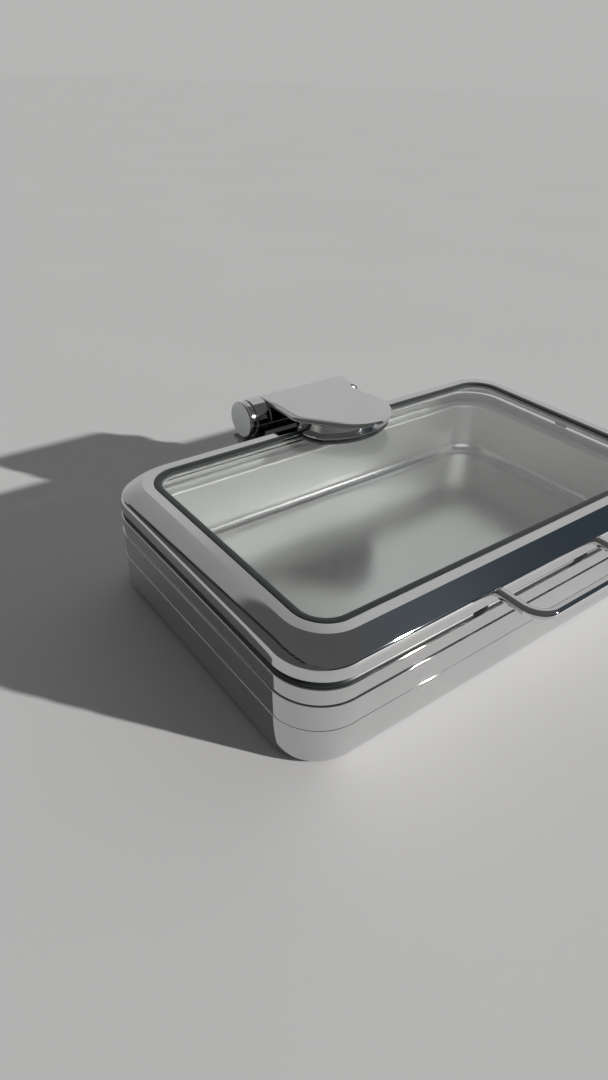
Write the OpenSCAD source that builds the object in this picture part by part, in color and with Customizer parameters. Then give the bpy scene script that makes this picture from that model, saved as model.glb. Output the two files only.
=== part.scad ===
// Rectangular induction chafing dish: a low water pan with stepped sides,
// a full-size food pan hanging in its rim, and a hinged glass lid that is
// carried by a damped barrel hinge at the back and lifted by a bar at the front.
// Millimetres. Origin: centre of the base on the table. +Z up, -Y is the front.

/* [Overall] */
// Height of the lid's top face above the table
H = 122; // [120:1:130]
// Length of the glass opening, outside the gasket
open_l = 500; // [496:1:508]
// Width of the glass opening, outside the gasket
open_w = 288.7; // [287.7:0.1:294.7]
// Corner radius of the glass opening
open_r = 34; // [32:1:36]

/* [Water pan] */
// How far the body's outer wall stands outside the glass opening
body_d = 29.5; // [29:0.5:31]
// Sheet thickness of the body
sheet = 1.5; // [1:0.1:1.8]
// Drop from the lid's top to the body's rim
rim_h = 35; // [34:0.5:36]
// Drop to the first body crease
crease_1 = 53; // [50:1:56]
// Drop to the second body crease
crease_2 = 80; // [76:1:84]

/* [Food pan] */
// Length of the food pan's mouth
mouth_l = 504; // [500:1:506]
// Width of the food pan's mouth
mouth_w = 300; // [297:1:301]
// Depth of the food pan
pan_depth = 64; // [60:1:66]

/* [Lid] */
// Width of the flat strip around the gasket
strip = 10; // [8:0.5:11]
// Thickness of the glass
glass_t = 4; // [3:0.5:4]
// Visible width of the gasket
gasket_w = 8; // [7:0.5:9]

/* [Hinge] */
// Radius of the hinge barrel
barrel_r = 21.3; // [20.9:0.1:21.6]
// Half width of the hinge leaf
leaf_hw = 62.5; // [60:0.5:62.5]
// Radius of the leaf's round front end
leaf_r = 52; // [50:0.5:53]
// Distance of the hinge axis behind the centre
axis_y = 207.5; // [206:0.5:210]

/* [Handle] */
// Half distance between the handle's two arms
arm_x = 71.5; // [66:0.5:80]
// How far the handle stands out of the lid
reach = 49.5; // [44:0.5:54]
// Radius of the handle's round bar
bar_r = 5.25; // [4.5:0.25:5.25]

/* [Hidden] */
$fn = 96;
e = 0.01;
core_r = 18.5;               // corner radius that the body's offsets grow from
axis_z = H - 1.3;            // hinge axis height
leaf_xc = 9.5;               // centre of the leaf's round front end
leaf_yc = 134.5;
clamp_c = [5, 144.5];        // centre of the clamp's round
clamp_r = 61.5;
liner_d = 23.6;              // how far the lid's inner liner reaches under the frame
leaf_top = H + 19.6;         // flat round end of the leaf
leaf_bot = H + 14.6;
barrel_top = axis_z + barrel_r;
glass_top = H - 1.2;
glass_bot = glass_top - glass_t;
body_bot = 0.8;              // underside of the sheet body
base_t = 5;                  // thickness of the plate that sits on the hob
skirt_d = 28.6;
skirt_b = H - 28;            // lower edge of the lid
back_y = open_w/2 + body_d;  // back face of the body
handle_z = H - 20;
steel = "lightgray";
dark = [0.12, 0.15, 0.14];
clamp_xy = [[-25, 116], [35, 116], [5, 107]];
bracket_xz = [[-60, H - 46], [52, H - 46], [-60, H - 66], [52, H - 66]];
saddle_x = [-75.5, -67.5];

// Sweeps a profile around a rounded rectangle; the profile's x is the
// distance outside the rectangle and its y is the height.
module sweep(l, w, r) {
  for (k = [0 : 3]) {
    sx = (k == 0 || k == 3) ? 1 : -1;
    sy = k < 2 ? 1 : -1;
    n = k % 2 == 0 ? w - 2*r : l - 2*r;
    translate([sx*(l/2 - r), sy*(w/2 - r), 0]) rotate([0, 0, 90*k])
      rotate_extrude(angle = 90) translate([r, 0]) children();
    rotate([0, 0, 90*k]) translate([(k % 2 == 0 ? l : w)/2, n/2, 0])
      rotate([90, 0, 0]) linear_extrude(height = n) children();
  }
}
// Rounded rectangular plate, d outside the glass opening
module plate(d, r, z0, z1) {
  l = open_l + 2*d; w = open_w + 2*d;
  translate([0, 0, z0]) linear_extrude(height = z1 - z0) {
    square([l - 2*r, w - 2*r], center = true);
    for (s = [-1, 1]) {
      translate([s*(l/2 - r/2), 0]) square([r, w - 2*r], center = true);
      translate([0, s*(w/2 - r/2)]) square([l - 2*r, r], center = true);
    }
    for (a = [-1, 1], b = [-1, 1]) translate([a*(l/2 - r), b*(w/2 - r)])
      intersection() { circle(r = r); translate([a*r/2, b*r/2]) square(r, center = true); }
  }
}
// Blend between two rounded rectangles at two heights
module blend(d0, r0, z0, d1, r1, z1) hull() {
  for (q = [[d0, r0, z0], [d1, r1, z1]], a = [-1, 1], b = [-1, 1])
    translate([a*(open_l/2 + q[0] - q[1]), b*(open_w/2 + q[0] - q[1]), q[2] - e/2])
      cylinder(r = q[1], h = e, $fn = 64);
}
// Cylinder along +X from x0 to x1 on the hinge axis
module bar_x(x0, x1, r) translate([x0, axis_y, axis_z]) rotate([0, 90, 0]) cylinder(r = r, h = x1 - x0);
// Cylinder along +Y
module bar_y(x, z, y0, y1, r) translate([x, y0, z]) rotate([-90, 0, 0]) cylinder(r = r, h = y1 - y0);
// Plan outline of the hinge leaf: straight left side, slanting front left,
// round front end and a waist on the right
module tongue() {
  rb = 24.5;
  b = [rb - leaf_hw, 148]; a = [leaf_xc, leaf_yc];
  t = atan2(a[1] - b[1], a[0] - b[0]) - acos((rb - leaf_r)/norm(a - b));
  n = [cos(t), sin(t)];
  translate(a) circle(r = leaf_r);
  translate(b) circle(r = rb);
  polygon([b, b + rb*n, a + leaf_r*n, a]);
  polygon(concat(
    [for (q = [[0, 2], [0, -4], [1, -9], [3.5, -16], [6, -25], [7, -33], [6, -44], [4.3, -55]]) [leaf_hw - q[0], axis_y + q[1]]],
    [a, b, [-leaf_hw, b[1]], [-leaf_hw, axis_y + 2]]));
}
// Side view of the leaf: flat, and level with the top of the barrel behind
module leaf_side() polygon([[60, leaf_top], [axis_y - 24, leaf_top], [axis_y, barrel_top], [axis_y, leaf_bot], [60, leaf_bot]]);
// Plan outline of the clamp under the leaf, g inside its edge: round, flatter in front
module clamp_plan(g) intersection() {
  translate(clamp_c) circle(r = clamp_r - g);
  translate([clamp_c[0], clamp_c[1] + 37.5]) circle(r = clamp_r + 26 - g);
}
// Part of the clamp's outline that lies on the glass
module on_glass(g) intersection() {
  clamp_plan(g);
  translate([-80, 60]) square([160, open_w/2 - gasket_w - 1 - 60]);
}

// ---- water pan -----------------------------------------------------------
module body_shell() color(steel) difference() {
  union() {
    sweep(open_l, open_w, core_r) polygon([
      [8, H - 39.5], [8, H - 38], [body_d - 1.6, H - 38], [body_d - 1.6, H - rim_h],
      [body_d - 0.5, H - rim_h], [body_d, H - rim_h - 0.6],
      [body_d - 0.5, H - crease_1 + 0.4], [body_d + 0.2, H - crease_1 - 0.4],
      [body_d + 0.4, H - crease_1 - 1.2], [body_d - 0.3, H - crease_2 + 0.4],
      [body_d + 0.3, H - crease_2 - 0.4], [body_d + 0.5, H - crease_2 - 1.2],
      [body_d + 0.2, body_bot + 13], [body_d - 0.1, body_bot + 8.6], [body_d - 0.9, body_bot + 4.8],
      [body_d - 2.3, body_bot + 2], [body_d - 4.1, body_bot + 0.4], [body_d - 5.8, body_bot], [10, body_bot],
      [10, body_bot + sheet], [body_d - 6, body_bot + sheet], [body_d - 4.2, body_bot + sheet + 1],
      [body_d - 2.7, body_bot + sheet + 3.8], [body_d - 1.7, body_bot + 12], [body_d - 1.7, H - 39.5]]);
    plate(10.5, 27, body_bot, base_t + sheet);
  }
  difference() { plate(10.6, 27.1, body_bot + sheet, base_t + 10); plate(-24, 31.5, 0, base_t + 11); }
  plate(-25.5, 30, -1, base_t);
  for (q = bracket_xz) bar_y(q[0], q[1], 168, 182, 2.7);
}
module base_plate() color("gray") plate(-25.7, 29.8, 0, base_t);
module rim_seal() color(dark) sweep(open_l, open_w, core_r)
  polygon([[22.6, H - 38], [27.8, H - 38], [27.8, H - 34.6], [27.5, H - 33.1], [26.7, H - 31.8],
    [25.4, H - 30.9], [23.9, H - 30.5], [22.9, H - 30.5], [22.6, H - 30.8]]);
module food_pan() color("silver") {
  zt = H - 37; zf = zt - pan_depth;
  difference() {
    union() {
      sweep(mouth_l, mouth_w, 45) polygon([
        [0.6, zt], [0, zt - 0.6], [-3.4, zf + 11], [-4.6, zf + 6.2], [-7.8, zf + 2.4], [-12.5, zf + 0.4], [-16, zf],
        [-20, zf], [-20, zf - 1], [-16, zf - 1], [-12, zf - 0.6], [-7, zf + 1.6], [-3.6, zf + 5.8], [-2.4, zf + 11],
        [0.8, zt - 1], [12.5, zt - 1], [12.5, zt]]);
      translate([0, 0, zf - 1]) linear_extrude(height = 1) {
        square([mouth_l - 90, mouth_w - 38], center = true);
        square([mouth_l - 38, mouth_w - 90], center = true);
      }
      for (a = [-1, 1], b = [-1, 1]) translate([a*(mouth_l/2 - 45), b*(mouth_w/2 - 45), zf - 1])
        intersection() { cylinder(r = 26, h = 1); translate([a*13.5, b*13.5, 0.5]) cube([27, 27, 2], center = true); }
    }
  }
}

// ---- hinge, fixed half -----------------------------------------------------
module hinge_bracket() color("gray") difference() {
  y0 = back_y + 0.6; y1 = y0 + 4;
  union() {
    translate([-89.5, y0, H - 76]) cube([159.5, 4, 47]);
    translate([-89.5, y1 - e, H - 33]) cube([159.5, 228 - y1, 4]);
    for (x = [-86.5, 63.4]) translate([x + 5, 0, 0]) rotate([0, -90, 0]) linear_extrude(height = 5)
      polygon([[H - 74, y1 - e], [H - 33 + e, y1 - e], [H - 33 + e, 224], [H - 38, 224]]);
    translate([-80, axis_y - 11, H - 30]) cube([16, 22, 18]);
    translate([63.2, axis_y - 12.5, H - 30]) cube([6.6, 25, 28.7]);
    bar_x(63.2, 69.8, 12.5);
  }
  bar_x(-81.5, -63.1, barrel_r);
  bar_x(62, 71, 9.5);
  for (q = bracket_xz) bar_y(q[0], q[1], y0 - 1, y1 + 1, 2.7);
  for (x = saddle_x) translate([x, axis_y, H - 34]) cylinder(r = 2.1, h = 12);
}
module bracket_backing() color("gray") difference() {
  translate([-74, open_w/2 + body_d - 5.8, H - 74]) cube([140, 3.4, 34]);
  for (q = bracket_xz) bar_y(q[0], q[1], 160, 180, 2.55);
}
module bracket_screws() color("gray") for (q = bracket_xz) {
  y1 = back_y + 4.6;
  difference() {
    union() {
      bar_y(q[0], q[1], y1 - 14, y1 + e, 2.5);
      bar_y(q[0], q[1], y1, y1 + 2.8, 4.6);
    }
    bar_y(q[0], q[1], y1 + 1.2, y1 + 4, 1.7);
  }
}
module damper_housing() color(steel) difference() {
  union() { bar_x(-81.6, -63, barrel_r); bar_x(-89.2, -81.5, barrel_r - 2); }
  bar_x(-90, -66, 15);
  bar_x(-70, -60, 9.5);
  for (x = saddle_x) translate([x, axis_y, axis_z - 23]) cylinder(r = 2, h = 6);
}
module housing_collar() color(steel) difference() {
  bar_x(-88.9, -82.2, barrel_r);
  bar_x(-94, -78, barrel_r - 1.95);
}
module housing_screws() color("gray") for (x = saddle_x) translate([x, axis_y, H - 36]) {
  cylinder(r = 3.6, h = 3);
  cylinder(r = 1.95, h = 15.6);
}
module end_cap() color(steel) {
  bar_x(-91, -89.2, barrel_r);
  translate([-92, axis_y, axis_z]) rotate([0, 90, 0]) cylinder(r1 = barrel_r - 1, r2 = barrel_r, h = 1);
  bar_x(-89.3, -86.5, 14.95);
}
module axle_bushes() color("peru") {
  difference() { bar_x(-66.2, -62.9, 9.5); bar_x(-70, -60, 7.05); }
  difference() { bar_x(62.9, 70.2, 9.5); bar_x(60, 72, 7.05); }
}

// ---- lid -------------------------------------------------------------------
// Corner points of the lid's shoulder: distance outside the opening, drop, corner radius
module shoulder(t) {
  s = [[strip, 0, 40], [strip + 6.7, 4.5, 43], [strip + 12.9, 9.7, 45.6], [skirt_d - 0.1, 15.5, 48]];
  for (i = [0 : 2]) blend(s[i][0] - t*0.62, s[i][2], H - s[i][1] - t*0.8, s[i + 1][0] - t*0.8, s[i + 1][2], H - s[i + 1][1] - t*0.83);
}
module lid_frame() color(steel) {
  difference() {
    union() { shoulder(0); plate(skirt_d, 48.1, skirt_b, H - 15.4); }
    translate([0, 0, -1.2]) shoulder(1.2);
    plate(skirt_d - 1.5, 46.6, skirt_b - 1, H - 15.6);
    plate(0, open_r, H - 30, H + 1);
    for (s = [-1, 1]) bar_y(s*arm_x, handle_z, -182, -150, 2.2);
  }
  difference() { plate(1.2, open_r + 1.2, H - 8.9, H - 0.6); plate(0, open_r, H - 10, H + 1); }
  difference() { plate(skirt_d - 1, 47.1, skirt_b, skirt_b + 1.2); plate(24, 42, skirt_b - 1, skirt_b + 2); }
}
module lid_glass() color([0.7, 0.85, 0.8, 0.4]) difference() {
  plate(-2.6, open_r - 2.6, glass_bot, glass_top);
  for (q = clamp_xy) translate([q[0], q[1], glass_bot - 1]) cylinder(r = 5, h = glass_t + 2);
}
module glass_gasket() color(dark) sweep(open_l, open_w, open_r) polygon([
  [0, H - 8.9], [0, H - 0.3], [-0.6, H + 0.1], [-1.8, H + 0.4], [-5, H + 0.3], [-7, H - 0.2], [-gasket_w, glass_top],
  [-2.6, glass_top], [-2.6, glass_bot], [-4, glass_bot], [-4, H - 8.9]]);
// Flat ledge under the gasket, then a sloping liner that closes the frame's underside
module glass_retainer() color(steel) sweep(open_l, open_w, open_r) polygon([
  [-7, H - 8.9], [3, H - 8.9], [liner_d, H - 24.8], [liner_d, H - 26], [2.4, H - 10.1], [-7, H - 10.1]]);
module hinge_leaf() color(steel) difference() {
  union() {
    intersection() {
      translate([0, 0, H]) linear_extrude(height = 40) tongue();
      translate([-80, 0, 0]) rotate([90, 0, 90]) linear_extrude(height = 160) leaf_side();
    }
    bar_x(-leaf_hw, leaf_hw, barrel_r);
  }
  bar_x(-70, 70, 7.02);
  translate([0, axis_y, axis_z - 30]) cylinder(r = 2.05, h = 37);
  for (q = clamp_xy) translate([q[0], q[1], leaf_bot - 1]) cylinder(r = 3, h = 4.5);
}
module hinge_axle() color("gray") difference() {
  union() { bar_x(-85.5, 70.3, 7); bar_x(70.2, 81, 5); }
  translate([0, axis_y, axis_z - 10]) cylinder(r = 2.05, h = 20);
}
module axle_pin() color("gray") translate([0, axis_y, axis_z - 20]) cylinder(r = 2, h = 26);
module axle_nut() color("gray") difference() {
  union() {
    translate([70.6, axis_y, axis_z]) rotate([0, 90, 0]) cylinder(r = 9, h = 8, $fn = 6);
    translate([78.5, axis_y, axis_z]) rotate([0, 90, 0]) rotate_extrude()
      polygon([[0, 0], [7.4, 0], [7.2, 2], [6.4, 4.2], [5, 5.9], [3, 7.1], [0, 7.6]]);
  }
  bar_x(60, 81.5, 5.02);
}
module damper_rotor() color("dimgray") difference() {
  union() { bar_x(-85.4, -67, 10); bar_x(-83, -69, 14.6); }
  bar_x(-90, -60, 7.02);
}
module clamp_body() color(steel) difference() {
  union() {
    translate([0, 0, H + 0.6]) linear_extrude(height = leaf_bot - H - 0.6) intersection() {
      clamp_plan(6);
      translate([-80, 60]) square([160, open_w/2 + strip - 60]);
    }
    translate([0, 0, glass_top + 1]) linear_extrude(height = 2.6) on_glass(0);
  }
  for (q = clamp_xy) translate([q[0], q[1], H - 3]) cylinder(r = 3.3, h = 30);
}
module clamp_pad_upper() color(dark) difference() {
  translate([0, 0, glass_top]) linear_extrude(height = 1) on_glass(0.6);
  for (q = clamp_xy) translate([q[0], q[1], H - 3]) cylinder(r = 4, h = 10);
}
module clamp_pad_lower() color(dark) difference() {
  translate([0, 0, glass_bot - 1]) linear_extrude(height = 1) on_glass(1.6);
  for (q = clamp_xy) translate([q[0], q[1], H - 12]) cylinder(r = 4, h = 12);
}
module clamp_plate() color(steel) difference() {
  translate([0, 0, glass_bot - 4]) linear_extrude(height = 3) on_glass(1.6);
  for (q = clamp_xy) translate([q[0], q[1], H - 14]) cylinder(r = 3.3, h = 14);
}
module clamp_screws() color("gray") for (q = clamp_xy) translate([q[0], q[1], glass_bot - 4]) difference() {
  union() {
    translate([0, 0, -2.8]) cylinder(r = 5.2, h = 2.8);
    translate([0, 0, -e]) cylinder(r = 2.95, h = leaf_bot + 3 - glass_bot + 4);
  }
  translate([0, 0, -4]) cylinder(r = 2, h = 2.6, $fn = 6);
}

// ---- handle ------------------------------------------------------------------
// Cross-section of the handle bar
module bar_section() circle(r = bar_r);
module lid_handle() color(steel) {
  y0 = -open_w/2 - skirt_d; y1 = y0 - reach + bar_r; rc = 18;
  difference() {
    union() {
      for (s = [-1, 1]) {
        translate([s*arm_x, y0, handle_z]) rotate([90, 0, 0]) linear_extrude(height = reach - bar_r - rc) bar_section();
        translate([s*(arm_x - rc), y1 + rc, handle_z]) rotate([0, 0, s > 0 ? -90 : 180])
          rotate_extrude(angle = 90) translate([rc, 0]) bar_section();
      }
      translate([-arm_x + rc, y1, handle_z]) rotate([90, 0, 90]) linear_extrude(height = 2*(arm_x - rc)) bar_section();
    }
    for (s = [-1, 1]) bar_y(s*arm_x, handle_z, y0 - 12, y0 + 1, 2);
  }
}
module handle_screws() color("gray") for (s = [-1, 1]) {
  y = -open_w/2 - skirt_d;
  bar_y(s*arm_x, handle_z, y - 11, y + 3, 1.95);
  bar_y(s*arm_x, handle_z, y + 2.6, y + 5.4, 3.2);
}
module handle_washers() color("gray") for (s = [-1, 1]) difference() {
  y = -open_w/2 - skirt_d;
  bar_y(s*arm_x, handle_z, y + 1.6, y + 2.6, 3.4);
  bar_y(s*arm_x, handle_z, y, y + 4, 2.2);
}
module lid_bumpers() color("dimgray") {
  for (s = [-1, 1]) {
    translate([s*190, -open_w/2 - 25.5, skirt_b - 1.05]) cube([16, 2.4, 2.1], center = true);
    translate([s*(open_l/2 + 25.5), 20, skirt_b - 1.05]) cube([2.4, 16, 2.1], center = true);
  }
}

body_shell();
base_plate();
rim_seal();
food_pan();
hinge_bracket();
bracket_backing();
bracket_screws();
damper_housing();
housing_collar();
housing_screws();
end_cap();
axle_bushes();
lid_frame();
lid_glass();
glass_gasket();
glass_retainer();
hinge_leaf();
hinge_axle();
axle_pin();
axle_nut();
damper_rotor();
clamp_body();
clamp_pad_upper();
clamp_pad_lower();
clamp_plate();
clamp_screws();
lid_handle();
handle_screws();
handle_washers();
lid_bumpers();
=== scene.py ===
import math
import bpy
import bmesh
from mathutils import Matrix, Vector


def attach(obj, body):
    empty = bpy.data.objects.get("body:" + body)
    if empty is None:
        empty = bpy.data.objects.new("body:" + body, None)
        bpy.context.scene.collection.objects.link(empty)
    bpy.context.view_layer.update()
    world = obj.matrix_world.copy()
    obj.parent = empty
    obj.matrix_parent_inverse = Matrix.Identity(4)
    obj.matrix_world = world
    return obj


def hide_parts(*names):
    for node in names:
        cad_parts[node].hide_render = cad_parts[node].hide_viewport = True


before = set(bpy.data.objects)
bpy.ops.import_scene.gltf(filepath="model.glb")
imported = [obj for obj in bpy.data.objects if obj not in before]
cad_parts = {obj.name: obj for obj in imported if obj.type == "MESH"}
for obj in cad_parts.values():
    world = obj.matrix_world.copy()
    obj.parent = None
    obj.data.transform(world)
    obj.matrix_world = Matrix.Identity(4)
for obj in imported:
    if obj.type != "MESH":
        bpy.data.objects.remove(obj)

scene = bpy.context.scene
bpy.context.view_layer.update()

MM = 0.001
H = 122.0                    # top face of the lid above the table
HL, HW = 250.0, 144.35       # half length and half width of the glass opening
AX_Y, AX_Z = 207.5, 120.7    # hinge axis
BARREL = 21.3
LEAF_HW = 62.5
CL_X, CL_Y, CL_R = 5.0, 144.5, 61.5     # round of the clamp under the leaf


# ---------------------------------------------------------------- materials
def new_mat(name):
    m = bpy.data.materials.new(name)
    m.use_nodes = True
    return m, m.node_tree, m.node_tree.nodes["Principled BSDF"]


def coords(nt, scale=None, rot=None):
    tc = nt.nodes.new("ShaderNodeTexCoord")
    if scale is None:
        return tc.outputs["Object"]
    mp = nt.nodes.new("ShaderNodeMapping")
    mp.inputs["Scale"].default_value = scale
    if rot:
        mp.inputs["Rotation"].default_value = rot
    nt.links.new(tc.outputs["Object"], mp.inputs["Vector"])
    return mp.outputs["Vector"]


def noise(nt, vec, scale, detail=3.0, rough=0.5):
    n = nt.nodes.new("ShaderNodeTexNoise")
    n.inputs["Scale"].default_value = scale
    n.inputs["Detail"].default_value = detail
    n.inputs["Roughness"].default_value = rough
    nt.links.new(vec, n.inputs["Vector"])
    return n.outputs["Fac"]


def remap(nt, val, a, b, lo, hi):
    n = nt.nodes.new("ShaderNodeMapRange")
    n.inputs["From Min"].default_value = a
    n.inputs["From Max"].default_value = b
    n.inputs["To Min"].default_value = lo
    n.inputs["To Max"].default_value = hi
    nt.links.new(val, n.inputs["Value"])
    return n.outputs["Result"]


def mix_col(nt, fac, a, b):
    n = nt.nodes.new("ShaderNodeMix")
    n.data_type = "RGBA"
    for sock, v in ((n.inputs[6], a), (n.inputs[7], b)):
        if isinstance(v, tuple):
            sock.default_value = (*v, 1.0)
        else:
            nt.links.new(v, sock)
    nt.links.new(fac, n.inputs[0])
    return n.outputs[2]


def bump(nt, height, strength, distance, under=None):
    n = nt.nodes.new("ShaderNodeBump")
    n.inputs["Strength"].default_value = strength
    n.inputs["Distance"].default_value = distance
    nt.links.new(height, n.inputs["Height"])
    if under is not None:
        nt.links.new(under, n.inputs["Normal"])
    return n.outputs["Normal"]


def polished(name, lo, hi, r0, r1, wave=0.00010, fine=0.10):
    """Mirror-polished sheet: faint long waves, polishing haze and wipe marks."""
    m, nt, b = new_mat(name)
    v = coords(nt)
    haze = noise(nt, v, 11.0, 4.0, 0.55)
    wipe = noise(nt, coords(nt, (7.0, 55.0, 7.0), (0.0, 0.0, 0.6)), 3.0, 4.0, 0.6)
    add = nt.nodes.new("ShaderNodeMath")
    add.operation = "ADD"
    nt.links.new(haze, add.inputs[0])
    nt.links.new(wipe, add.inputs[1])
    nt.links.new(mix_col(nt, remap(nt, haze, 0.3, 0.7, 0.0, 1.0), lo, hi), b.inputs["Base Color"])
    nt.links.new(remap(nt, add.outputs[0], 0.75, 1.3, r0, r1), b.inputs["Roughness"])
    b.inputs["Metallic"].default_value = 1.0
    n1 = bump(nt, noise(nt, v, 22.0, 1.0, 0.4), 1.0, wave)
    n2 = bump(nt, noise(nt, v, 900.0, 2.0, 0.5), fine, 0.000004, n1)
    nt.links.new(n2, b.inputs["Normal"])
    return m


def satin(name, lo, hi, r0, r1, stretch=(14.0, 520.0, 520.0), depth=0.000012, wall=0.0):
    """Satin sheet: short brushed streaks in colour, roughness and relief; wall adds roughness on drawn pan walls and
    tones the pan floor below them darker, painted shade.
    """
    m, nt, b = new_mat(name)
    v = coords(nt)
    streak = noise(nt, coords(nt, stretch), 1.0, 5.0, 0.65)
    cloud = noise(nt, v, 14.0, 3.0, 0.5)
    tone = mix_col(nt, remap(nt, streak, 0.3, 0.7, 0.0, 1.0), lo, hi)
    rough = remap(nt, cloud, 0.3, 0.7, r0, r1)
    if wall:
        xyz = nt.nodes.new("ShaderNodeSeparateXYZ")
        nt.links.new(v, xyz.inputs[0])
        add = nt.nodes.new("ShaderNodeMath")
        add.operation = "ADD"
        nt.links.new(rough, add.inputs[0])
        nt.links.new(remap(nt, xyz.outputs["Z"], 0.022, 0.040, 0.0, wall), add.inputs[1])
        rough = add.outputs[0]
    nt.links.new(rough, b.inputs["Roughness"])
    if wall:
        nt.links.new(remap(nt, xyz.outputs["Z"], 0.022, 0.036, 1.0, 0.78), b.inputs["Metallic"])
        # the pan floor below the walls is toned darker than the walls, painted shade
        base = mix_col(nt, remap(nt, xyz.outputs["Z"], 0.022, 0.036, 0.0, 1.0),
                       mix_col(nt, remap(nt, streak, 0.3, 0.7, 0.0, 1.0), (0.72, 0.725, 0.72), (0.78, 0.785, 0.775)), tone)
        nt.links.new(base, b.inputs["Base Color"])
    else:
        b.inputs["Metallic"].default_value = 1.0
        nt.links.new(tone, b.inputs["Base Color"])
    n1 = bump(nt, noise(nt, v, 26.0, 1.0, 0.4), 1.0, 0.00010)
    n2 = bump(nt, streak, 0.5, depth, n1)
    nt.links.new(n2, b.inputs["Normal"])
    return m


def rubber(name, lo, hi, r0, r1, grain=1400.0, depth=0.00002):
    m, nt, b = new_mat(name)
    v = coords(nt)
    cloud = noise(nt, v, 30.0, 4.0, 0.6)
    nt.links.new(mix_col(nt, remap(nt, cloud, 0.3, 0.7, 0.0, 1.0), lo, hi), b.inputs["Base Color"])
    nt.links.new(remap(nt, cloud, 0.3, 0.7, r0, r1), b.inputs["Roughness"])
    b.inputs["Specular IOR Level"].default_value = 0.5
    nt.links.new(bump(nt, noise(nt, v, grain, 2.0, 0.5), 0.5, depth), b.inputs["Normal"])
    return m


def clear_glass(name):
    m, nt, b = new_mat(name)
    b.inputs["Transmission Weight"].default_value = 1.0
    b.inputs["IOR"].default_value = 1.5
    b.inputs["Roughness"].default_value = 0.0
    v = coords(nt)
    nt.links.new(mix_col(nt, noise(nt, v, 5.0, 1.0), (0.972, 0.990, 0.980), (0.978, 0.992, 0.985)),
                 b.inputs["Base Color"])
    path = nt.nodes.new("ShaderNodeLightPath")
    thru = nt.nodes.new("ShaderNodeBsdfTransparent")
    thru.inputs["Color"].default_value = (0.22, 0.225, 0.22, 1.0)
    mx = nt.nodes.new("ShaderNodeMixShader")
    nt.links.new(path.outputs["Is Shadow Ray"], mx.inputs[0])
    nt.links.new(b.outputs["BSDF"], mx.inputs[1])
    nt.links.new(thru.outputs["BSDF"], mx.inputs[2])
    nt.links.new(mx.outputs["Shader"], nt.nodes["Material Output"].inputs["Surface"])
    return m


M_POL = polished("polished_steel", (0.705, 0.71, 0.715), (0.76, 0.76, 0.76), 0.008, 0.024)
# the water pan's steel is a darker copy of the lid's polished steel, painted shade that tones its bands down
M_BODY = polished("polished_body", (0.645, 0.65, 0.652), (0.695, 0.695, 0.695), 0.008, 0.024)
M_BARREL = polished("polished_barrel", (0.68, 0.685, 0.69), (0.74, 0.74, 0.74), 0.09, 0.14, 0.00005)
M_HINGE = polished("polished_hinge", (0.705, 0.71, 0.715), (0.76, 0.76, 0.76), 0.02, 0.055, 0.00005)
M_SATIN = satin("satin_pan", (0.88, 0.89, 0.88), (0.94, 0.945, 0.935), 0.18, 0.235, wall=0.19)
M_INNER = satin("satin_inner", (0.74, 0.745, 0.74), (0.82, 0.82, 0.815), 0.34, 0.44)
M_LINER = satin("satin_liner", (0.80, 0.805, 0.80), (0.87, 0.87, 0.865), 0.36, 0.46)
M_LINER.node_tree.nodes["Principled BSDF"].inputs["Metallic"].default_value = 0.6
M_CAP = satin("satin_cap", (0.86, 0.885, 0.90), (0.92, 0.94, 0.95), 0.42, 0.50, (520.0, 40.0, 520.0))
M_PLATE = satin("satin_plate", (0.42, 0.42, 0.42), (0.52, 0.52, 0.515), 0.34, 0.46)
M_SCREW = satin("screw_steel", (0.40, 0.40, 0.41), (0.50, 0.50, 0.50), 0.22, 0.34, (600.0, 600.0, 600.0))
M_DARK = satin("dark_steel", (0.13, 0.13, 0.14), (0.20, 0.20, 0.21), 0.28, 0.40, (400.0, 400.0, 400.0))
M_BRACKET = satin("bracket_steel", (0.36, 0.36, 0.37), (0.44, 0.44, 0.445), 0.24, 0.32, (60.0, 520.0, 520.0))
# painted shade: near-black steel laid on the bracket's shelf under the barrel, standing in for the shade there
M_PAINTED_SHADE = satin("painted_shade_black", (0.040, 0.043, 0.048), (0.060, 0.064, 0.070), 0.36, 0.46, (60.0, 520.0, 520.0))
M_BRONZE = satin("bronze", (0.50, 0.32, 0.14), (0.60, 0.40, 0.19), 0.30, 0.42, (300.0, 300.0, 300.0))
M_GASKET = rubber("gasket_rubber", (0.011, 0.0165, 0.0148), (0.019, 0.028, 0.025), 0.30, 0.40)
M_PAD = rubber("pad_rubber", (0.010, 0.012, 0.012), (0.018, 0.020, 0.020), 0.45, 0.6)
M_BUMP = rubber("bumper_silicone", (0.05, 0.05, 0.052), (0.07, 0.07, 0.072), 0.45, 0.6)
M_PLAST = rubber("damper_plastic", (0.025, 0.025, 0.028), (0.04, 0.04, 0.042), 0.42, 0.55, 900.0, 0.00003)
M_GLASS = clear_glass("clear_glass")


# ---------------------------------------------------------------- mesh tools
def finish_mesh(name, bm, mat, body, nodes=(), weighted=False):
    bmesh.ops.recalc_face_normals(bm, faces=bm.faces)
    me = bpy.data.meshes.new(name)
    bm.to_mesh(me)
    bm.free()
    me.transform(Matrix.Scale(MM, 4))
    me.materials.append(mat)
    me.shade_smooth()
    ob = bpy.data.objects.new(name, me)
    scene.collection.objects.link(ob)
    if weighted:
        w = ob.modifiers.new("flat_faces", "WEIGHTED_NORMAL")
        w.weight = 100
        w.keep_sharp = False
    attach(ob, body)
    if nodes:
        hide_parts(*nodes)
    return ob


def second_mat(ob, mat, test):
    """Gives the faces that pass the test another finish; the test gets centre (mm) and normal."""
    ob.data.materials.append(mat)
    for f in ob.data.polygons:
        if test(f.center / MM, f.normal):
            f.material_index = 1


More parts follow.
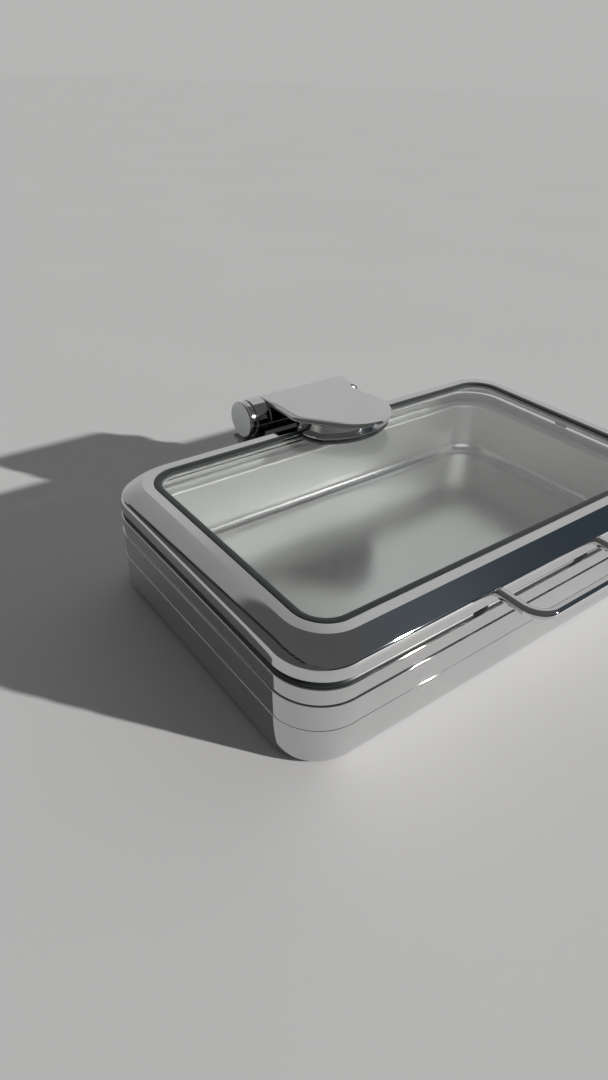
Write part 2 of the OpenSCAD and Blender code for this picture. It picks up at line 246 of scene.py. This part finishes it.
def arc(cx, cy, r, a0, a1, n):
    """Points on a circle, angles in degrees."""
    return [(cx + r * math.cos(math.radians(a0 + (a1 - a0) * i / n)),
             cy + r * math.sin(math.radians(a0 + (a1 - a0) * i / n))) for i in range(n + 1)]


def supported(pts, eps, closed):
    """Adds a point close to each end of every longer straight run, so that flats shade flat."""
    out = []
    n = len(pts)
    for i in range(n if closed else n - 1):
        p, q = pts[i], pts[(i + 1) % n]
        d = math.hypot(q[0] - p[0], q[1] - p[1])
        if d < 1e-6:
            continue
        out.append(p)
        if d > 3.0 * eps:
            for f in (eps / d, 1.0 - eps / d):
                out.append((p[0] + (q[0] - p[0]) * f, p[1] + (q[1] - p[1]) * f))
    if not closed:
        out.append(pts[-1])
    return out


def round_rect(hl, hw, r, nc=22, sup=2.5):
    """Rounded rectangle, with points beside each corner and along the straights."""
    pts = []
    for k in range(4):
        sx, sy = ((1, 1), (-1, 1), (-1, -1), (1, -1))[k]
        nx, ny = ((-1, 1), (-1, -1), (1, -1), (1, 1))[k]
        a0 = 90.0 * k
        pts += arc(sx * (hl - r), sy * (hw - r), r, a0, a0 + 90.0, nc)
        p = pts[-1]
        a1 = math.radians(a0 + 90.0)
        q = (nx * (hl - r) + r * math.cos(a1), ny * (hw - r) + r * math.sin(a1))
        d = math.hypot(q[0] - p[0], q[1] - p[1])
        for f in (sup / d, 0.2, 0.4, 0.6, 0.8, 1.0 - sup / d):
            pts.append((p[0] + (q[0] - p[0]) * f, p[1] + (q[1] - p[1]) * f))
    return pts


def loft(bm, loops, closed=False, cap=False, ring=True):
    """Quads between successive loops of equal length; caps the two ends if asked."""
    rows = [[bm.verts.new(p) for p in lp] for lp in loops]
    n = len(rows[0])
    m = len(rows)
    for i in range(m if closed else m - 1):
        a, b = rows[i], rows[(i + 1) % m]
        for j in range(n if ring else n - 1):
            k = (j + 1) % n
            bm.faces.new((a[j], a[k], b[k], b[j]))
    if cap and not closed:
        bm.faces.new(rows[0][::-1])
        bm.faces.new(rows[-1])
    return rows


def swept(name, prof, rc, mat, body, nodes, closed=True, eps=0.18, hl=HL, hw=HW, nc=22):
    """A profile (distance outside the rectangle, height) swept around a rounded rectangle.
    rc(d) gives the corner radius at each distance."""
    bm = bmesh.new()
    loops = []
    for d, z in supported(prof, eps, closed):
        loops.append([(x, y, z) for x, y in round_rect(hl + d, hw + d, rc(d), nc)])
    loft(bm, loops, closed=closed, cap=not closed)
    return finish_mesh(name, bm, mat, body, nodes)


def lathe_x(bm, prof, n=112, eps=0.15, y=AX_Y, z=AX_Z, closed=False):
    """A profile (x, radius) turned about an axis along X."""
    loops = []
    for x, r in supported(prof, eps, closed):
        loops.append([(x, y + r * math.cos(2 * math.pi * j / n), z + r * math.sin(2 * math.pi * j / n))
                      for j in range(n)])
    loft(bm, loops, closed=closed, cap=not closed)


def prism(bm, outline, axis, a0, a1, width=0.5, seg=3):
    """An outline pushed along an axis with rounded edges. axis is 'x' (outline in y,z), 'y' (x,z) or 'z' (x,y)."""
    def at(p, a):
        return {"x": (a, p[0], p[1]), "y": (p[0], a, p[1]), "z": (p[0], p[1], a)}[axis]
    tmp = bmesh.new()
    lo = [tmp.verts.new(at(p, a0)) for p in outline]
    hi = [tmp.verts.new(at(p, a1)) for p in outline]
    n = len(outline)
    for j in range(n):
        k = (j + 1) % n
        tmp.faces.new((lo[j], lo[k], hi[k], hi[j]))
    tmp.faces.new(lo[::-1])
    tmp.faces.new(hi)
    bmesh.ops.recalc_face_normals(tmp, faces=tmp.faces)
    sharp = [e for e in tmp.edges if e.calc_face_angle(0.0) > math.radians(40)]
    bmesh.ops.bevel(tmp, geom=sharp, offset=width, segments=seg, profile=0.5, affect="EDGES",
                    clamp_overlap=True)
    me = bpy.data.meshes.new("tmp")
    tmp.to_mesh(me)
    tmp.free()
    bm.from_mesh(me)
    bpy.data.meshes.remove(me)


def smooth(u):
    u = min(max(u, 0.0), 1.0)
    return u * u * (3.0 - 2.0 * u)


def tongue():
    """Plan outline of the leaf: waist on the right, round front end, slanting front left, straight left side."""
    ax, ay, ra = 9.5, 134.5, 52.0
    bx, by, rb = -38.0, 148.0, 24.5
    run = math.hypot(ax - bx, ay - by)
    slant = math.degrees(math.atan2(ay - by, ax - bx) - math.acos((rb - ra) / run))
    start = math.asin(17.5 / ra)
    x0, y0 = ax + ra * math.cos(start), ay + 17.5
    right = []
    for i in range(17):
        y = AX_Y + 4.0 + (176.0 - AX_Y) * i / 16.0
        right.append((55.3 + (LEAF_HW - 55.3) * smooth((y - 178.0) / 25.0), y))
    h, k = y0 - 180.0, -math.tan(start)
    for i in range(1, 10):
        t = i / 10.0
        right.append(((2 * t ** 3 - 3 * t ** 2 + 1) * 55.3 + (3 * t ** 2 - 2 * t ** 3) * x0
                      + (t ** 3 - t ** 2) * h * k, 180.0 + h * t))
    left = [(-LEAF_HW, by + (AX_Y + 4.0 - by) * i / 22.0) for i in range(1, 23)]
    return (right + arc(ax, ay, ra, math.degrees(start), slant, 60)
            + arc(bx, by, rb, slant, -180.0, 16) + left)


def inset(p, g):
    """Moves an outline point towards the leaf's spine by g millimetres, or onto it."""
    m = (2.0, max(p[1], 148.0))
    d = math.hypot(p[0] - m[0], p[1] - m[1])
    f = 1.0 - min(g / d, 1.0)
    return (m[0] + (p[0] - m[0]) * f, m[1] + (p[1] - m[1]) * f)


def clamp_plan(g, y_cut):
    """Plan outline of the clamp, g inside its edge: round, flatter in front, cut straight behind."""
    ra, rb, yb = CL_R - g, CL_R + 26.0 - g, CL_Y + 37.5
    yc = (ra ** 2 - rb ** 2 + yb ** 2 - CL_Y ** 2) / (2.0 * (yb - CL_Y))
    a0 = math.degrees(math.asin((y_cut - CL_Y) / ra))
    a1 = math.degrees(math.asin((yc - CL_Y) / ra))
    b1 = math.degrees(math.asin((yc - yb) / rb))
    pts = (arc(CL_X, CL_Y, ra, a0, a1, 14) + arc(CL_X, yb, rb, b1, -180.0 - b1, 44)[1:-1]
           + arc(CL_X, CL_Y, ra, -180.0 - a1, -180.0 - a0, 14))
    (x0, y0), (x1, y1) = pts[-1], pts[0]
    return pts + [(x0 + (x1 - x0) * f, y0) for f in (0.01, 0.25, 0.5, 0.75, 0.99)]


# ---------------------------------------------------------------- lid
def rc_lid(d):
    if d <= 0.0:
        return 34.0 + d
    if d <= 10.0:
        return 34.0 + 0.6 * d
    return min(40.0 + (d - 10.0) * 8.0 / 18.5, 48.0)


SH_D, SH_Z, SH_R = -29.66, 56.0, 77.0     # circle of the lid's gently rounded slope
SKIRT = 29.1


def on_slope(r, phi):
    return (SH_D + r * math.sin(math.radians(phi)), SH_Z + r * math.cos(math.radians(phi)))


slope = [on_slope(SH_R, 31.25 + 15.755 * i / 16) for i in range(17)]
slope_in = [on_slope(SH_R - 1.6, 47.0 - 15.0 * i / 10) for i in range(11)]
lid_prof = ([(0.0, 113.1)] + arc(0.55, 121.45, 0.55, 180.0, 90.0, 5)
            + arc(9.667, 120.8, 1.2, 90.0, 60.0, 5) + slope
            + arc(20.807, 103.054, 8.0, 42.995, 18.0, 9)[1:]
            + arc(SKIRT - 14.0, 101.2, 14.0, 18.0, 0.0, 7)[1:]
            + arc(SKIRT - 0.75, 94.75, 0.75, 0.0, -90.0, 5)
            + arc(25.0, 94.6, 0.6, 270.0, 90.0, 6)
            + arc(26.8, 95.7, 0.5, -90.0, 0.0, 3)
            + slope_in + arc(1.9, 119.7, 0.7, 90.0, 180.0, 4)
            + [(1.2, 113.5), (0.9, 113.1)])
lid_frame = swept("lid_frame_skin", lid_prof, rc_lid, M_POL, "lid", ["lid_frame"])


def faces_in(c, n):
    """Faces on the underside of the frame and on the inner side of its skirt."""
    ox = math.copysign(max(abs(c.x) - HL + 30.0, 0.0), c.x)
    oy = math.copysign(max(abs(c.y) - HW + 30.0, 0.0), c.y)
    return c.z > 94.3 and (n.z < -0.2 or ox * n.x + oy * n.y < -0.3 * math.hypot(ox, oy))


second_mat(lid_frame, M_INNER, faces_in)

gas_prof = ([(0.0, 113.3), (0.0, 121.75), (-0.25, 122.02), (-0.7, 122.2), (-1.4, 122.34), (-2.4, 122.4),
             (-3.6, 122.38), (-4.8, 122.28), (-5.8, 122.08), (-6.6, 121.82), (-7.2, 121.5), (-7.65, 121.15),
             (-7.9, 120.83), (-2.62, 120.83), (-2.62, 116.77), (-3.6, 116.77),
             (-3.9, 116.5), (-3.9, 113.5), (-3.5, 113.1), (-0.2, 113.1)])
gasket = swept("glass_gasket_skin", gas_prof, rc_lid, M_GASKET, "lid", ["glass_gasket"])

liner_prof = ([(-6.6, 113.05), (2.9, 113.05)] + arc(3.0, 112.75, 0.3, 80.0, 53.0, 3) + [(22.9, 97.75)]
              + arc(22.95, 96.95, 0.6, 50.0, -120.0, 8)
              + [(2.3, 111.95), (-6.6, 111.95)] + arc(-6.45, 112.5, 0.55, 255.0, 105.0, 5))
liner = swept("glass_retainer_skin", liner_prof, lambda d: 34.0 + d, M_LINER, "lid",
              ["glass_retainer"])

gl_prof = [(-60.0, 116.8), (-3.2, 116.8), (-2.8, 117.2), (-2.8, 120.4), (-3.2, 120.8), (-60.0, 120.8)]
glass = swept("lid_glass_pane", gl_prof, lambda d: 34.0 + max(d, -10.0), M_GLASS, "lid",
              ["lid_glass"], closed=False)

# ---------------------------------------------------------------- water pan
def rc_body(d):
    return 18.5 + d if d >= 10.0 else 28.5 + (10.0 - d) * 0.05


def crease(d_hi, d_lo, z, r):
    """Small outward step between two bands, from the band above to the band below."""
    return ([(d_hi + 0.10, z + 1.6), (d_hi + 0.03, z + 0.8), (d_hi, z + 0.30), (d_hi + 0.05, z + 0.06)]
            + arc(d_lo - r, z - r, r, 88.0, 0.0, 6))


def seam(d_hi, d_lo, z, gap, depth):
    """Step with a fine open seam under the upper band."""
    return ([(d_hi + 0.10, z + gap + 1.5), (d_hi + 0.03, z + gap + 0.6)] + arc(d_hi - 0.2, z + gap + 0.2, 0.2, 0.0, -90.0, 3)
            + [(d_hi - depth, z + gap), (d_hi - depth, z)] + arc(d_lo - 0.5, z - 0.5, 0.5, 90.0, 0.0, 6))


body_prof = ([(-60.0, 5.0), (-25.9, 5.0), (-25.5, 4.6), (-25.5, 1.3), (-25.0, 0.8), (23.0, 0.8)]
             + [(23.7 + 6.1 * math.sin(math.radians(a)), 13.8 - 13.0 * math.cos(math.radians(a)))
                for a in range(5, 91, 5)]
             + crease(29.5, 29.97, 42.0, 0.35)[::-1]
             + seam(28.85, 29.95, 69.0, 0.55, 0.8)[::-1]
             + arc(28.3, 85.8, 1.2, 0.0, 90.0, 7)
             + arc(28.3, 86.6, 0.4, 90.0, 180.0, 3)
             + [(27.9, 84.3), (27.6, 84.0), (8.5, 84.0), (8.0, 83.5), (8.0, 83.0), (8.5, 82.5), (26.6, 82.5),
                (27.3, 81.8), (27.6, 14.0)]
             + [(23.3 + 4.3 * math.cos(math.radians(a)), 13.8 - 11.4 * math.sin(math.radians(a)))
                for a in range(10, 91, 10)]
             + [(-22.8, 2.4), (-23.5, 3.1), (-23.5, 5.9), (-24.2, 6.5), (-60.0, 6.5)])
body_shell = swept("body_shell_skin", body_prof, rc_body, M_BODY, "base", ["body_shell"],
                   closed=False)

seal_prof = ([(22.6, 84.02), (22.6, 91.1), (22.7, 91.4), (23.0, 91.5)] + arc(23.5, 87.2, 4.3, 90.0, 0.0, 16)
             + [(27.8, 84.02)])
rim_seal = swept("rim_seal_skin", seal_prof, rc_body, M_GASKET, "base", ["rim_seal"])
# the inner faces of the dark rubber seal get the light satin steel finish, painted light on the seal's inner side
second_mat(rim_seal, M_INNER, lambda c, n: faces_in(c + Vector((0.0, 0.0, 60.0)), Vector((n.x, n.y, 0.0))))


# ---------------------------------------------------------------- food pan
def rc_pan(d):
    return 45.0 + d if d >= -16.0 else 29.0 + (d + 16.0) * 0.1


pan_prof = ([(-60.0, 20.0), (-15.6, 20.0)]
            + arc(-15.6, 33.2, 13.2, -90.0, -4.0, 14)
            + arc(2.2, 82.2, 1.8, 176.0, 90.0, 6)
            + [(12.1, 84.0), (12.5, 84.4), (12.5, 84.6), (12.1, 85.0)]
            + arc(2.2, 82.2, 2.8, 90.0, 176.0, 8)
            + arc(-15.6, 33.2, 12.2, -4.0, -90.0, 16)
            + [(-60.0, 21.0)])
food_pan = swept("food_pan_skin", pan_prof, rc_pan, M_SATIN, "base", ["food_pan"],
                 closed=False, eps=0.5, hl=252.0, hw=150.0)

# ---------------------------------------------------------------- hinge, moving half
bm = bmesh.new()
out = tongue()
rows = []
for kind, g, off in ([("low", 99.0, 0.0), ("low", 30.0, 0.0), ("low", 8.0, 0.0), ("low", 2.4, 0.0)]
                     + [("low", x, z) for x, z in arc(0.8, 0.8, 0.8, 270.0, 180.0, 4)]
                     + [("edge", t, 0.0) for t in range(0, 91, 9)]
                     + [("top", x, 0.0) for x in (0.5, 2.5, 10.0, 28.0, 46.0, 99.0)]):
    lp = []
    for p in out:
        r = 4.0 - 3.0 * smooth((p[1] - 176.0) / 22.0)
        if kind == "edge":
            x, y = inset(p, 1.9 * r * (1.0 - math.cos(math.radians(g))))
            dz = -r * (1.0 - math.sin(math.radians(g)))
        else:
            x, y = inset(p, g if kind == "low" else 1.9 * r + g)
            dz = off
        if y <= AX_Y:
            top = 141.6 + 0.4 * smooth((y - AX_Y + 24.0) / 24.0)
        else:
            top = AX_Z + math.sqrt(BARREL ** 2 - (y - AX_Y) ** 2) - 0.04 * (y - AX_Y)
        lp.append((x, y, (136.6 if kind == "low" else top) + dz))
    rows.append(lp)
loft(bm, rows)
bmesh.ops.remove_doubles(bm, verts=bm.verts, dist=0.001)
lathe_x(bm, [(-62.5, 7.0)] + arc(-61.8, BARREL - 0.7, 0.7, 180.0, 90.0, 4)
        + arc(61.8, BARREL - 0.7, 0.7, 90.0, 0.0, 4) + [(62.5, 7.0)])
hinge_leaf = finish_mesh("hinge_leaf_skin", bm, M_HINGE, "lid", ["hinge_leaf"])

bm = bmesh.new()
wall = [(3.0, 122.6), (0.4, 122.6), (0.0, 123.0), (0.0, 136.1), (0.4, 136.58), (3.0, 136.58)]
loft(bm, [[(x, y, z) for x, y in clamp_plan(6.0 + g, 154.35 - g)] for g, z in supported(wall, 0.3, False)], cap=True)
flange = ([(1.8, 121.8)] + arc(0.4, 122.2, 0.4, 270.0, 180.0, 3) + arc(0.9, 123.5, 0.9, 180.0, 90.0, 5)
          + [(2.4, 124.4)])
loft(bm, [[(x, y, z) for x, y in clamp_plan(g, 135.35 - g)] for g, z in supported(flange, 0.25, False)], cap=True)
clamp_body = finish_mesh("clamp_body_skin", bm, M_HINGE, "lid", ["clamp_body"])

bm = bmesh.new()
hexa = arc(AX_Y, AX_Z, 9.0, 0.0, 300.0, 5)
prism(bm, hexa, "x", 70.6, 78.6, 0.7, 3)
lathe_x(bm, [(78.0, 7.3), (78.6, 7.4)] + [(78.6 + 7.4 * math.sin(math.radians(a)), 7.4 * math.cos(math.radians(a)))
                                       for a in range(6, 86, 8)] + [(86.0, 0.35)], n=64)
axle_nut = finish_mesh("axle_nut_skin", bm, M_DARK, "lid", ["axle_nut"], weighted=True)

# ---------------------------------------------------------------- hinge, fixed half
bm = bmesh.new()
lathe_x(bm, [(-88.9, 15.05), (-88.9, 18.3), (-81.7, 18.3)] + arc(-80.9, BARREL - 0.7, 0.7, 180.0, 90.0, 4)
        + arc(-63.7, BARREL - 0.7, 0.7, 90.0, 0.0, 4) + [(-63.0, 9.6)])
damper_housing = finish_mesh("damper_housing_skin", bm, M_BARREL, "base", ["damper_housing"])

bm = bmesh.new()
lathe_x(bm, arc(-87.3, 18.9, 1.6, 180.0, 90.0, 8) + arc(-83.8, 18.9, 1.6, 90.0, 0.0, 8)
        + [(-82.2, 18.4), (-88.9, 18.4)], closed=True)
housing_collar = finish_mesh("housing_collar_skin", bm, M_BARREL, "base", ["housing_collar"])

bm = bmesh.new()
lathe_x(bm, [(-92.0, 0.5), (-92.0, 20.1)] + arc(-90.8, BARREL - 1.2, 1.2, 180.0, 90.0, 6)
        + arc(-89.6, BARREL - 0.4, 0.4, 90.0, 0.0, 3) + [(-89.2, 14.9), (-86.6, 14.9), (-86.5, 0.5)])
end_cap = finish_mesh("end_cap_skin", bm, M_HINGE, "base", ["end_cap"])
second_mat(end_cap, M_CAP, lambda c, n: n.x < -0.97)

bm = bmesh.new()
angle = ([(174.45, 46.0), (174.45, 88.0)] + arc(179.45, 88.0, 5.0, 180.0, 90.0, 6) + [(228.0, 93.0), (228.0, 89.0)]
         + arc(181.0, 86.5, 2.5, 90.0, 180.0, 5) + [(178.45, 46.0)])
prism(bm, angle, "x", -89.5, 70.0, 0.6)
for x0 in (-86.5, 63.4):
    prism(bm, [(178.2, 48.0), (178.2, 89.3), (224.0, 89.3), (224.0, 84.0)], "x", x0, x0 + 5.0, 0.5)
prism(bm, [(AX_Y - 11.0, 92.5), (AX_Y + 11.0, 92.5)] + [(AX_Y + 21.35 * math.cos(math.radians(a)), AX_Z + 21.35 * math.sin(math.radians(a)))
                                        for a in range(-60, -121, -6)], "x", -80.0, -64.0, 0.35)
prism(bm, [(AX_Y - 12.5, 92.5), (AX_Y + 12.5, 92.5)] + arc(AX_Y, AX_Z, 12.5, 0.0, 180.0, 24), "x", 63.2, 69.8, 0.5)
hinge_bracket = finish_mesh("hinge_bracket_skin", bm, M_BRACKET, "base", ["hinge_bracket"], weighted=True)
# the shelf top under the barrel is painted near-black, painted shade under the barrel
second_mat(hinge_bracket, M_PAINTED_SHADE, lambda c, n: n.z > 0.7 and 92.0 < c.z < 94.0)

# ---------------------------------------------------------------- handle
y0, y1, hz, rb, ax, rod = -172.95, -172.95 - 44.25, 102.0, 18.0, 71.5, 5.25
path = [(-ax, y0, -90.0), (-ax, y0 - 1.0, -90.0), (-ax, y1 + rb + 1.0, -90.0)]
path += [(-ax + rb - rb * math.cos(math.radians(a)), y1 + rb - rb * math.sin(math.radians(a)), -90.0 + a)
         for a in [90.0 * i / 24 for i in range(25)]]
path += [(-ax + rb + 1.5, y1, 0.0), (0.0, y1, 0.0), (ax - rb - 1.5, y1, 0.0)]
path += [(ax - rb + rb * math.sin(math.radians(a)), y1 + rb - rb * math.cos(math.radians(a)), a)
         for a in [90.0 * i / 24 for i in range(25)]]
path += [(ax, y1 + rb + 1.0, 90.0), (ax, y0 - 1.0, 90.0), (ax, y0, 90.0)]
bm = bmesh.new()
loops = []
for px, py, a in path:
    nx, ny = -math.sin(math.radians(a)), math.cos(math.radians(a))
    loops.append([(px + nx * u, py + ny * u, hz + v) for u, v in arc(0.0, 0.0, rod, 0.0, 352.5, 47)])
loft(bm, loops, cap=True)
lid_handle = finish_mesh("lid_handle_skin", bm, M_HINGE, "lid", ["lid_handle"])

# ---------------------------------------------------------------- hardware kept from the frame
kept = {
    "base_plate": (M_PLATE, 0.5), "bracket_backing": (M_PLATE, 0.4), "bracket_screws": (M_SCREW, 0.3),
    "housing_screws": (M_SCREW, 0.3), "axle_bushes": (M_BRONZE, 0.2),
    "hinge_axle": (M_SCREW, 0.3), "axle_pin": (M_SCREW, 0.2), "damper_rotor": (M_PLAST, 0.3),
    "clamp_pad_upper": (M_PAD, 0.15), "clamp_pad_lower": (M_PAD, 0.15), "clamp_plate": (M_DARK, 0.4),
    "clamp_screws": (M_SCREW, 0.3), "handle_screws": (M_SCREW, 0.3), "handle_washers": (M_SCREW, 0.15),
    "lid_bumpers": (M_BUMP, 0.4),
}
for name, (m, w) in kept.items():
    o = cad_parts[name]
    if not o.material_slots:
        o.data.materials.append(m)
    for s in o.material_slots:
        s.material = m
    weld = o.modifiers.new("weld", "WELD")
    weld.merge_threshold = 0.000002
    bev = o.modifiers.new("edges", "BEVEL")
    bev.width = w * MM
    bev.segments = 2
    bev.limit_method = "ANGLE"
    bev.angle_limit = math.radians(50)
    bev.harden_normals = True

# ---------------------------------------------------------------- stage, light and camera
fm, nt, b = new_mat("floor_paper")
v = coords(nt)
nt.links.new(mix_col(nt, noise(nt, v, 2.0, 3.0), (0.66, 0.66, 0.665), (0.70, 0.70, 0.705)), b.inputs["Base Color"])
b.inputs["Roughness"].default_value = 0.75
b.inputs["Specular IOR Level"].default_value = 0.2
nt.links.new(bump(nt, noise(nt, v, 900.0, 2.0), 0.15, 0.0001), b.inputs["Normal"])
bm = bmesh.new()
ring = [bm.verts.new((14.0 * math.cos(2 * math.pi * i / 96), 14.0 * math.sin(2 * math.pi * i / 96), -0.0003))
        for i in range(96)]
bm.faces.new(ring)
fme = bpy.data.meshes.new("floor")
bm.to_mesh(fme)
bm.free()
fme.materials.append(fm)
floor = bpy.data.objects.new("floor", fme)
scene.collection.objects.link(floor)

world = bpy.data.worlds.new("studio")
scene.world = world
world.use_nodes = True
nt = world.node_tree
nt.nodes.clear()
tc = nt.nodes.new("ShaderNodeTexCoord")
nrm = nt.nodes.new("ShaderNodeVectorMath")
nrm.operation = "NORMALIZE"
nt.links.new(tc.outputs["Generated"], nrm.inputs[0])
sep = nt.nodes.new("ShaderNodeSeparateXYZ")
nt.links.new(nrm.outputs["Vector"], sep.inputs[0])


def lobe(direction, c0, c1):
    d = Vector(direction).normalized()
    dot = nt.nodes.new("ShaderNodeVectorMath")
    dot.operation = "DOT_PRODUCT"
    dot.inputs[1].default_value = d
    nt.links.new(nrm.outputs["Vector"], dot.inputs[0])
    mr = nt.nodes.new("ShaderNodeMapRange")
    mr.interpolation_type = "SMOOTHSTEP"
    mr.inputs["From Min"].default_value = c0
    mr.inputs["From Max"].default_value = c1
    nt.links.new(dot.outputs["Value"], mr.inputs["Value"])
    return mr.outputs["Result"]


lit = mix_col(nt, lobe((1.0, 0.0, 0.0), -0.60, 0.50), (0.28, 0.28, 0.28), (0.516, 0.516, 0.511))
lit = mix_col(nt, lobe((0.30, 0.62, 0.72), 0.965, 0.992), lit, (0.29, 0.285, 0.28))
dark = mix_col(nt, lobe((1.0, 0.0, 0.0), 0.46, 0.60), (0.095, 0.094, 0.0925), (0.085, 0.097, 0.110))
dark = mix_col(nt, lobe((1.0, 0.0, 0.0), 0.58, 0.77), dark, (0.039, 0.052, 0.0645))
low = mix_col(nt, lobe((1.0, 0.0, 0.0), 0.20, 0.36), (0.012, 0.015, 0.0145), (0.040, 0.048, 0.066))
dark = mix_col(nt, lobe((0.0, 0.0, 1.0), 0.18, 0.34), low, dark)
col = mix_col(nt, lobe((0.495, 0.751, -0.438), -0.015, 0.015), dark, lit)
low_left = nt.nodes.new("ShaderNodeMath")
low_left.operation = "MULTIPLY"
nt.links.new(lobe((0.0, 0.0, -1.0), -0.22, -0.08), low_left.inputs[0])
nt.links.new(lobe((-1.0, 0.0, 0.0), 0.45, 0.62), low_left.inputs[1])
col = mix_col(nt, low_left.outputs["Value"], col, (0.015, 0.015, 0.015))
left_wall = nt.nodes.new("ShaderNodeMath")
left_wall.operation = "MULTIPLY"
nt.links.new(lobe((-0.7526, -0.271, -0.600), -0.02, 0.01), left_wall.inputs[0])
nt.links.new(lobe((-1.0, 0.0, 0.0), 0.36, 0.46), left_wall.inputs[1])
shade = mix_col(nt, lobe((-0.7526, -0.271, -0.600), 0.015, 0.05), (0.015, 0.015, 0.015), (0.078, 0.076, 0.074))
col = mix_col(nt, left_wall.outputs["Value"], col, shade)
lp = nt.nodes.new("ShaderNodeLightPath")
col = mix_col(nt, lp.outputs["Is Camera Ray"], col, (0.465, 0.462, 0.458))
bg = nt.nodes.new("ShaderNodeBackground")
nt.links.new(col, bg.inputs["Color"])
out = nt.nodes.new("ShaderNodeOutputWorld")
nt.links.new(bg.outputs["Background"], out.inputs["Surface"])

sun = bpy.data.lights.new("key", "SUN")
sun.energy = 4.25
sun.angle = math.radians(1.5)
sun.color = (1.0, 0.985, 0.965)
key = bpy.data.objects.new("key", sun)
key.rotation_euler = Vector((-0.57, 0.7375, -0.358)).to_track_quat("-Z", "Y").to_euler()
scene.collection.objects.link(key)

inner = bpy.data.lights.new("key_inside", "SUN")
inner.energy = 0.13
inner.angle = math.radians(12.0)
inner.color = sun.color
key_in = bpy.data.objects.new("key_inside", inner)
key_in.rotation_euler = key.rotation_euler
scene.collection.objects.link(key_in)

soft = bpy.data.lights.new("pan_fill", "AREA")
soft.shape = "SQUARE"
soft.size = 2.1
soft.energy = 8.6
fill = bpy.data.objects.new("pan_fill", soft)
fill.location = (-0.40, -1.80, 1.10)
fill.rotation_euler = (Vector((0.0, 0.0, 0.06)) - fill.location).to_track_quat("-Z", "Y").to_euler()
scene.collection.objects.link(fill)


def linked(name, obs, state):
    c = bpy.data.collections.new(name)
    for o in obs:
        c.objects.link(o)
    for item in c.collection_objects:
        item.light_linking.link_state = state
    return c


# the soft light and a weak key fill the pan and the lid's lining through the pane; the key light leaves them out
fill.light_linking.receiver_collection = linked("fill_on", (food_pan, liner), "INCLUDE")
fill.light_linking.blocker_collection = linked("fill_through", (glass,), "EXCLUDE")
key_in.light_linking.receiver_collection = linked("key_in_on", (food_pan,), "INCLUDE")
key_in.light_linking.blocker_collection = linked("key_in_through", (glass,), "EXCLUDE")
key.light_linking.receiver_collection = linked("key_off", (food_pan, liner, damper_housing), "EXCLUDE")

cam = bpy.data.cameras.new("camera")
cam.lens = 24.0
cam.sensor_width = 36.0
cam.sensor_fit = "AUTO"
cam.clip_start = 0.01
cam.clip_end = 100.0
camera = bpy.data.objects.new("camera", cam)
right = Vector((0.80063, -0.59805, 0.03651))
up = Vector((0.31171, 0.46779, 0.82706))
back = -Vector((0.51170, 0.65078, -0.56094))
rot = Matrix((right, up, back)).transposed()
camera.matrix_world = Matrix.Translation((-0.51012, -0.45483, 0.48148)) @ rot.to_4x4()
scene.collection.objects.link(camera)
scene.camera = camera
scene.view_settings.view_transform = "Standard"
scene.view_settings.look = "None"
